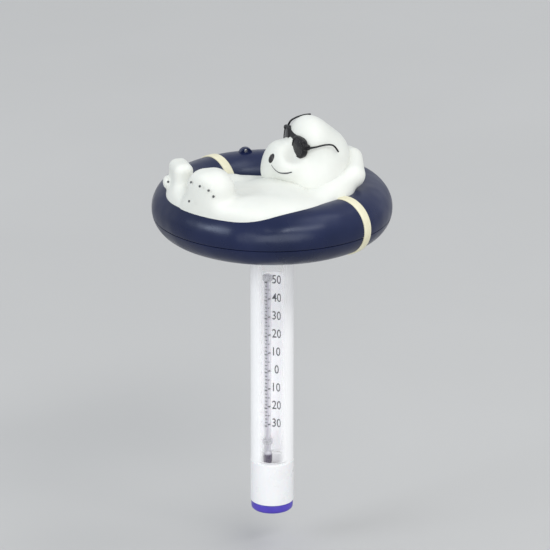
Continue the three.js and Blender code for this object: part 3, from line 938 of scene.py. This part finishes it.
# ---- the swim ring ----
def make_ring():
    gap = 0.06
    edge = 0.32
    top, bottom = SEAM_Z + gap, SEAM_Z - gap
    inside = RING_r - RING_WALL

    def side_angle(z, r):
        return degrees(asin(z / r))

    a = side_angle(top + edge, RING_r)
    outer = arc(RING_R, 0, RING_r, a, 180 - a, 80)
    inner = arc(RING_R, 0, inside, 180 - side_angle(top, inside), side_angle(top, inside), 40)
    start = RING_R + sqrt(RING_r ** 2 - top ** 2)
    end = RING_R - sqrt(RING_r ** 2 - top ** 2)
    upper = [(start - edge, top), (start - 0.05, top + 0.12), *outer, (end + 0.05, top + 0.12)]
    upper += [(end + edge, top), *inner]
    b = side_angle(bottom - edge, RING_r)
    below = -180 - side_angle(DECK_BOTTOM - 0.5, RING_r)
    above = -180 - side_angle(DECK_TOP + 0.5, RING_r)
    lower = [(0, DECK_TOP), (RING_R - sqrt(RING_r ** 2 - DECK_TOP ** 2) - 0.7, DECK_TOP)]
    lower += arc(RING_R, 0, RING_r, above, -180 - b, 8)
    start = RING_R + sqrt(RING_r ** 2 - bottom ** 2)
    end = RING_R - sqrt(RING_r ** 2 - bottom ** 2)
    lower += [(end + 0.05, bottom - 0.12), (end + edge, bottom)]
    lower += arc(RING_R, 0, inside, -180 - side_angle(bottom, inside), side_angle(bottom, inside), 40)
    lower += [(start - edge, bottom), (start - 0.05, bottom - 0.12)]
    lower += arc(RING_R, 0, RING_r, b, below, 60)
    lower += [
        (RING_R - sqrt(RING_r ** 2 - DECK_BOTTOM ** 2) - 0.8, DECK_BOTTOM),
        (SOCKET_R, DECK_BOTTOM, 1.2),
        (SOCKET_R, SOCKET_BOTTOM, 0.8),
        (SOCKET_BORE_R, SOCKET_BOTTOM, 0.4),
        (SOCKET_BORE_R, DECK_BOTTOM),
        (0, DECK_BOTTOM),
    ]
    shell, lug = lathe(upper, 224), surface(lug_field, (-4.2, 44, 11), (4.2, 48.4, 17), 0.2, settle=1)
    vertices, faces = joined([shell, lug])
    add_piece("ring_top_skin", vertices, faces, "float", NAVY, ["ring_upper_shell"], 40)
    vertices, faces = lathe(lower, 224)
    add_piece("ring_base_skin", vertices, faces, "float", NAVY, ["ring_lower_shell"], 40)


def lug_field(p):
    """The tether lug: a rounded tab with a hole, standing on the ring's crest."""
    outline = np.hypot(p[..., 0], np.maximum(p[..., 2] - 12.7, 0)) - 3.5
    d = np.maximum(outline, np.abs(p[..., 1] - RING_R) - 1.5)
    round_edge = 0.45
    a, b = outline + round_edge, np.abs(p[..., 1] - RING_R) - 1.5 + round_edge
    d = np.minimum(np.maximum(a, b), 0) + np.hypot(np.maximum(a, 0), np.maximum(b, 0)) - round_edge
    hole = np.hypot(p[..., 0], p[..., 2] - 14.7) - 0.9
    return carve(np.maximum(d, 11.4 - p[..., 2]), hole, 0.4)


def make_bands():
    half = BAND_WIDTH / 2
    section = [
        (-half, -0.3), (-half, 0.2), (-half + 0.1, 0.45), (-half + 0.32, 0.62), (-half + 0.7, BAND_THICK),
        (0, BAND_THICK + 0.03),
        (half - 0.7, BAND_THICK), (half - 0.32, 0.62), (half - 0.1, 0.45), (half, 0.2), (half, -0.3),
    ]
    angles = np.radians(np.linspace(198, -136, 120))
    for name, turn in BAND_ANGLES.items():
        t = radians(turn)
        out, along = np.array([cos(t), sin(t), 0]), np.array([-sin(t), cos(t), 0])
        vertices, faces = [], []
        count = len(section)
        for a in angles:
            for w, lift in section:
                r = RING_r + lift
                vertices.append(out * (RING_R + r * cos(a)) + along * w + np.array([0, 0, r * sin(a)]))
        for i in range(len(angles) - 1):
            for k in range(count):
                n = (k + 1) % count
                faces.append([i * count + k, i * count + n, (i + 1) * count + n, (i + 1) * count + k])
        faces.append(list(range(count)))
        faces.append(list(range((len(angles) - 1) * count, len(angles) * count)))
        add_piece(name + "_strap", vertices, faces, "float", CREAM, [name], 50)


# ---- the thermometer ----
def make_thermometer():
    neck = [
        (0, PLUG_BOTTOM), (SPIGOT_R, PLUG_BOTTOM, 0.8), (SPIGOT_R, TUBE_TOP + 0.3, 0.2),
        (TUBE_R, TUBE_TOP + 0.3, 0.5), (TUBE_R, PLUG_SHOULDER, 0.7), (PLUG_R, PLUG_SHOULDER, 0.2),
        (PLUG_R, NECK_GROOVE_LOW, 0.2), (NECK_GROOVE_R, NECK_GROOVE_LOW, 0.2),
        (NECK_GROOVE_R, NECK_GROOVE_HIGH, 0.2), (PLUG_R, NECK_GROOVE_HIGH, 0.2),
        (PLUG_R, PLUG_TOP - 1, 0.6), (PLUG_R - 1, PLUG_TOP, 0.6), (0, PLUG_TOP),
    ]
    tube = [
        (TUBE_BORE_R, TUBE_TOP, 0.3), (TUBE_BORE_R, TUBE_STEP + 0.7, 0.4),
        (TUBE_END_BORE_R, TUBE_STEP - 1, 0.5), (TUBE_END_BORE_R, TUBE_END, 0.2),
        (SPIGOT_R, TUBE_END, 0.2), (SPIGOT_R, TUBE_STEP, 0.2),
        (TUBE_R, TUBE_STEP, 0.25), (TUBE_R, TUBE_TOP, 0.4),
    ]
    cup = [
        (0, CUP_FLOOR), (TUBE_BORE_R, CUP_FLOOR, 0.6), (TUBE_BORE_R, TUBE_STEP - 0.15, 0.25),
        (TUBE_R, TUBE_STEP - 0.15, 0.45), (TUBE_R, CUP_BOTTOM, 0.3), (CHAMBER_R, CUP_BOTTOM, 0.3),
        (CHAMBER_R, CUP_FLOOR - 1.8, 0.5), (0, CUP_FLOOR - 1.8),
    ]
    cap = [
        (0, CAP_BOTTOM + 0.5), (6.5, CAP_BOTTOM + 0.5, 0.6), (7.3, CAP_BOTTOM, 0.5),
        (CAP_R, CAP_BOTTOM, 1.8), (CAP_R, CUP_BOTTOM - 0.2, 0.5), (CAP_PLUG_R, CUP_BOTTOM - 0.2, 0.2),
        (CAP_PLUG_R, CAP_GROOVE_LOW, 0.15), (CAP_GROOVE_R, CAP_GROOVE_LOW, 0.15),
        (CAP_GROOVE_R, CAP_GROOVE_HIGH, 0.15), (CAP_PLUG_R, CAP_GROOVE_HIGH, 0.15),
        (CAP_PLUG_R - 0.6, CAP_TOP, 0.3), (0, CAP_TOP),
    ]
    pieces = [
        ("neck_plug_body", neck, PLASTIC, "white_plastic", "neck_plug", "thermometer"),
        ("outer_tube_wall", tube, CLEAR, "clear_tube", "outer_tube", "thermometer"),
        ("ballast_cup_body", cup, PLASTIC, "white_plastic", "ballast_cup", "thermometer"),
        ("bottom_cap_body", cap, BLUE, "cap_blue", "bottom_cap", "cap"),
    ]
    for name, profile, look, slot, node, body in pieces:
        vertices, faces = lathe(profile, 144)
        add_piece(name, vertices, faces, body, look, [node], 42)
    make_stem()
    make_card()
    for name, look in (("neck_o_ring", RUBBER), ("tube_gasket", RUBBER), ("cap_o_ring", RUBBER),
                       ("bulb_cushion", FOAM), ("ballast_weight", STEEL), ("upper_stem_clip", CLIP),
                       ("lower_stem_clip", CLIP), ("spirit_meniscus", PALE_SPIRIT)):
        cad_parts[name].material_slots[0].material = look


def make_stem():
    centre = (STEM_X, STEM_Y)
    outside = [
        (0, BULB_BOTTOM), (1.3, BULB_BOTTOM + 0.15, 0.5), (BULB_R, BULB_BOTTOM + 1.6, 0.9),
        (BULB_R, BULB_TOP - 1.2, 0.9), (STEM_R, BULB_TOP + 0.9, 0.6), (STEM_R, STEM_TOP, 0.5),
    ]
    bore = [
        (STEM_BORE_R, STEM_TOP, 0.1), (STEM_BORE_R, BULB_TOP, 0.4), (BULB_BORE_R, BULB_TOP - 1.2, 0.5),
        (BULB_BORE_R, BULB_BOTTOM + 1.6, 0.6), (0, BULB_BOTTOM + 1.0),
    ]
    vertices, faces = lathe(outside + bore, 72, centre)
    add_piece("stem_tube", vertices, faces, "thermometer", GLASS, ["glass_stem"], 50)
    fill = [
        (0, BULB_BOTTOM + 1.15), (1.4, BULB_BOTTOM + 1.65, 0.5), (1.4, BULB_TOP - 1.3, 0.5),
        (0.45, BULB_TOP - 0.35, 0.3), (COLUMN_R, BULB_TOP + 0.4), (0, BULB_TOP + 0.4),
    ]
    vertices, faces = lathe(fill, 48, centre)
    add_piece("bulb_fill", vertices, faces, "thermometer", SPIRIT, ["bulb_spirit"], 50)
    low = BULB_TOP - 0.6
    top = READING_Z - 0.35
    column = [(0, low)] + [(COLUMN_R, z) for z in np.linspace(low, top, 60)] + [(0, top)]
    vertices, faces = lathe(column, 24, centre)
    piece = add_piece(
        "column_fill", vertices, faces, "thermometer", PALE_SPIRIT, ["spirit_column"], 50
    )
    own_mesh(piece)


def card_point(angle, z, r):
    """A point by its angle from the card's middle, which is towards +Y, clockwise from above."""
    return (r * sin(angle), r * cos(angle), z)


def make_card():
    """The half-round card: smooth along its curve, with its cut edges."""
    angles = np.radians(np.linspace(-90, 90, 97))
    heights = np.linspace(CARD_BOTTOM, CARD_TOP, 40)
    vertices, faces = [], []
    section = [(a, CARD_R) for a in angles] + [(a, CARD_R + CARD_THICK) for a in angles[::-1]]
    count = len(section)
    for z in heights:
        for a, r in section:
            vertices.append(card_point(a, z, r))
    for i in range(len(heights) - 1):
        for k in range(count):
            n = (k + 1) % count
            faces.append([i * count + k, i * count + n, (i + 1) * count + n, (i + 1) * count + k])
    for start in (0, (len(heights) - 1) * count):
        for k in range(len(angles) - 1):
            faces.append([start + k, start + k + 1, start + count - 2 - k, start + count - 1 - k])
    add_piece("scale_sheet", vertices, faces, "thermometer", CARD, ["scale_card"], 40)


def height_of(celsius):
    return READING_Z - (DEGREES_TOP - celsius) * MM_PER_DEGREE


def glyphs(text, high, stretch):
    """The flat outline of a number as (vertices, faces), its middle at the origin, x across and y up."""
    curve = bpy.data.curves.new("digits", "FONT")
    curve.body = text
    curve.size = 1.0
    curve.resolution_u = 4
    curve.extrude = 0.5
    curve.offset = 0.004
    maker = bpy.data.objects.new("digits", curve)
    SCENE.collection.objects.link(maker)
    bpy.context.view_layer.update()
    mesh = bpy.data.meshes.new_from_object(maker.evaluated_get(bpy.context.evaluated_depsgraph_get()))
    bpy.data.objects.remove(maker)
    bpy.data.curves.remove(curve)
    joined_mesh = bmesh.new()
    joined_mesh.from_mesh(mesh)
    bmesh.ops.remove_doubles(joined_mesh, verts=joined_mesh.verts, dist=1e-4)
    bmesh.ops.triangulate(joined_mesh, faces=[f for f in joined_mesh.faces if len(f.verts) > 4])
    vertices = np.array([v.co for v in joined_mesh.verts])
    faces = [[v.index for v in f.verts] for f in joined_mesh.faces]
    joined_mesh.free()
    bpy.data.meshes.remove(mesh)
    low, top = vertices.min(0), vertices.max(0)
    digit = high / (top[1] - low[1])
    vertices[:, 1] = (vertices[:, 1] - (low[1] + top[1]) / 2) * digit
    vertices[:, 0] = (vertices[:, 0] - (low[0] + top[0]) / 2) * digit * stretch
    return vertices, faces


def make_numbers():
    """Numbers every 10 degrees, printed on the card's hollow face to the right of the stem."""
    middle = radians(33.0)
    ink = 0.05
    parts = []
    for celsius in range(50, -31, -10):
        vertices, faces = glyphs(str(abs(celsius)), 4.6, 0.76)
        angle = middle + vertices[:, 0] / CARD_R
        r = CARD_R + 0.02 - (vertices[:, 2] + 0.5) * ink
        z = height_of(celsius) + vertices[:, 1]
        parts.append((np.stack([r * np.sin(angle), r * np.cos(angle), z], axis=1), faces))
    vertices, faces = joined(parts)
    add_piece("scale_numbers", vertices, faces, "thermometer", INK, crease=30)


def curved_mark(centre, r, start, end, low, high, deep, steps=5):
    """A thin printed mark on a cylinder about centre, between two angles from +Y and two heights."""
    vertices, faces = [], []
    angles = np.linspace(start, end, steps + 1)
    for a in angles:
        for radius in (r, r + deep):
            for z in (low, high):
                vertices.append((centre[0] + radius * sin(a), centre[1] + radius * cos(a), z))
    for i in range(steps):
        a, b = 4 * i, 4 * (i + 1)
        for k, n in ((0, 1), (1, 3), (3, 2), (2, 0)):
            faces.append([a + k, a + n, b + n, b + k])
    faces.append([0, 1, 3, 2])
    faces.append([4 * steps + k for k in (0, 1, 3, 2)])
    return vertices, faces


def make_ticks():
    """Two columns of ticks on the front of the stem, and a column of Fahrenheit dots on the card."""
    stem = (STEM_X, STEM_Y)
    r = STEM_R - 0.02
    parts = []
    for celsius in range(50, -31, -2):
        z = height_of(celsius)
        major = celsius % 10 == 0
        thick = 0.33 if major else 0.24
        reach = 258 if major else 244
        parts.append(curved_mark(stem, r, radians(204), radians(reach), z - thick, z + thick, 0.05))
    for celsius in range(50, -31, -5):
        z = height_of(celsius) + 0.9
        major = celsius % 10 == 0
        thick = 0.32 if major else 0.23
        wide = 46 if major else 30
        parts.append(curved_mark(stem, r, radians(192 - wide), radians(192), z - thick, z + thick, 0.05))
    vertices, faces = joined(parts)
    add_piece("stem_ticks", vertices, faces, "thermometer", INK, crease=30)
    parts = []
    for fahrenheit in range(110, -21, -10):
        z = height_of((fahrenheit - 32) / 1.8)
        parts.append(
            curved_mark((0, 0), CARD_R - 0.05, radians(-23.4), radians(-20.2), z - 0.28, z + 0.28, 0.08)
        )
    vertices, faces = joined(parts)
    add_piece("scale_dots", vertices, faces, "thermometer", INK, crease=30)


# ---- surroundings ----
def make_floor():
    size = 12.0
    count = 24
    marks = np.linspace(-size, size, count + 1)
    level = (CAP_BOTTOM - FLOOR_DROP) * MM
    vertices = [(x, y, level) for x in marks for y in marks]
    row = count + 1
    faces = [
        (i * row + k, (i + 1) * row + k, (i + 1) * row + k + 1, i * row + k + 1)
        for i in range(count) for k in range(count)
    ]
    mesh = bpy.data.meshes.new("floor")
    mesh.from_pydata(vertices, [], faces)
    mesh.materials.append(floor_grey())
    floor = bpy.data.objects.new("floor", mesh)
    SCENE.collection.objects.link(floor)


def softbox(name, azimuth, elevation, distance, wide, tall, power, colour=(1, 1, 1)):
    """An area light aimed at the ring: azimuth from the front, positive to the camera's right."""
    data = bpy.data.lights.new(name, "AREA")
    data.shape = "RECTANGLE"
    data.size = wide
    data.size_y = tall
    data.energy = power
    data.color = colour
    light = bpy.data.objects.new(name, data)
    a, e = radians(azimuth - 17), radians(elevation)
    out = Vector((sin(a) * cos(e), -cos(a) * cos(e), sin(e)))
    light.location = out * distance
    light.rotation_euler = (-out).to_track_quat("-Z", "Y").to_euler()
    SCENE.collection.objects.link(light)


def make_light():
    SCENE.view_settings.view_transform = "Standard"
    world = bpy.data.worlds.new("studio")
    world.use_nodes = True
    background = world.node_tree.nodes["Background"]
    background.inputs["Color"].default_value = (0.93, 0.96, 1.0, 1)
    background.inputs["Strength"].default_value = 0.72
    SCENE.world = world
    softbox("key", 34, 46, 4.2, 3.2, 0.8, 52.0, (1.0, 0.99, 0.97))
    softbox("fill", 5, 14, 4.4, 4.2, 2.2, 62.0)
    softbox("right", 92, 62, 4.0, 1.8, 1.8, 22.0)
    softbox("side", -62, 27, 4.2, 1.8, 1.2, 44.0, (0.92, 0.96, 1.0))


make_camera()
make_light()
make_floor()
make_ring()
make_bands()
make_bear()
make_face()
make_paw_pads()
make_glasses()
make_thermometer()
make_numbers()
make_ticks()
